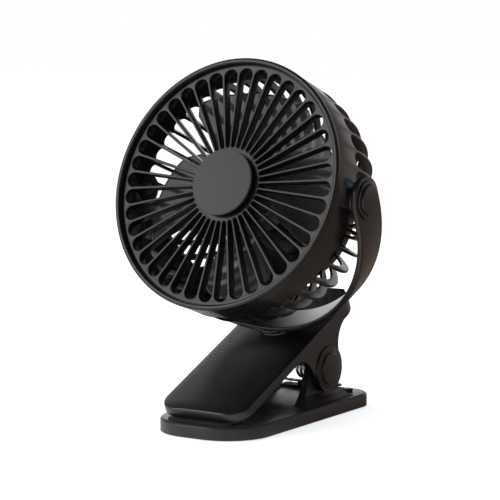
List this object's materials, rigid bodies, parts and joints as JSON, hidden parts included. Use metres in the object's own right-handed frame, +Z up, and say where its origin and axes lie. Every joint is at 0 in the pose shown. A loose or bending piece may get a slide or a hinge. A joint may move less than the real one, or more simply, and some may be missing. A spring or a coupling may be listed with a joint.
{
  "type": "clip fan",
  "caption": "Clip fan: a round fan head behind a slotted grille tilts in a forked yoke that swivels on a sprung clip arm hinged to a flat base.",
  "frame": {"origin": "middle of the base on the surface that its feet stand on", "axes": "+Z up, the fan faces -Y, +X to the right seen from the front"},
  "size_m": [0.168, 0.153, 0.2142],
  "materials": {
    "black_shell": "satin moulded",
    "black_trim": "satin moulded",
    "black_grille": "satin moulded",
    "grey_cap": "matte",
    "smoke_blade": "translucent smoke, glossy",
    "foot_rubber": "matte",
    "pad_rubber": "matte",
    "cell_wrap": "foil pouch",
    "circuit_board": "solder mask",
    "plated_shell": "plated",
    "spring_steel": "bright drawn wire",
    "pin_steel": "turned",
    "screw_steel": "plated",
    "washer_steel": "plated",
    "washer_nylon": "matte",
    "motor_steel": "plated can",
    "switch_body": "matte"
  },
  "bodies": {
    "base": {"base_plate": "black_shell", "bottom_cover": "black_shell", "bottom_screws": "screw_steel", "foot_pads": "foot_rubber", "lower_jaw_pad": "pad_rubber", "battery_cell": "cell_wrap", "charge_board": "circuit_board", "usb_port": "plated_shell", "spring_seat": "black_shell", "seat_screws": "screw_steel", "torsion_spring": "spring_steel", "hinge_pin_left": "pin_steel", "hinge_pin_right": "pin_steel"},
    "clip_arm": {"arm_shell": "black_shell", "arm_cover": "black_shell", "arm_screws": "screw_steel", "upper_jaw_pad": "pad_rubber", "hinge_cap_left": "black_trim", "hinge_cap_right": "black_trim"},
    "yoke": {"yoke_bracket": "black_shell", "swivel_washer": "washer_nylon", "swivel_retainer": "washer_steel", "swivel_screw": "screw_steel", "tilt_washers": "washer_nylon", "yoke_cap_left": "black_trim", "yoke_cap_right": "black_trim"},
    "head": {"front_grille": "black_grille", "grille_cap": "grey_cap", "rear_housing": "black_grille", "tilt_shafts": "pin_steel", "rear_cap": "black_trim", "control_board": "circuit_board", "push_switch": "switch_body", "motor_can": "motor_steel"},
    "rotor": {"fan_blades": "smoke_blade", "motor_shaft": "pin_steel", "shaft_nut": "black_trim"},
    "button": {"power_button": "black_trim"}
  },
  "joints": [
    {"name": "clip_open", "type": "hinge", "parent": "base", "child": "clip_arm", "pos_m": [0, 0.0267, 0.0285], "axis": [-1, 0, 0], "range_deg": [0, 30], "stiffness_Nm_per_rad": 0.9, "springref_deg": -85.94, "deforming": ["torsion_spring"]},
    {"name": "yoke_swivel", "type": "hinge", "parent": "clip_arm", "child": "yoke", "pos_m": [0, 0.01583, 0.05344], "axis": [0, -0.3995, 0.9167], "range_deg": [-175, 175]},
    {"name": "head_tilt", "type": "hinge", "parent": "yoke", "child": "head", "pos_m": [0, -0.01993, 0.13548], "axis": [1, 0, 0], "range_deg": [-170, 170]},
    {"name": "fan_spin", "type": "hinge", "parent": "head", "child": "rotor", "pos_m": [0, -0.01993, 0.13548], "axis": [0, 0.9455, -0.3256], "continuous": true},
    {"name": "power_press", "type": "slide", "parent": "head", "child": "button", "axis": [0, -0.9455, 0.3256], "range_m": [0, 0.0008], "stiffness_N_per_m": 800, "springref_m": -0.001}
  ]
}
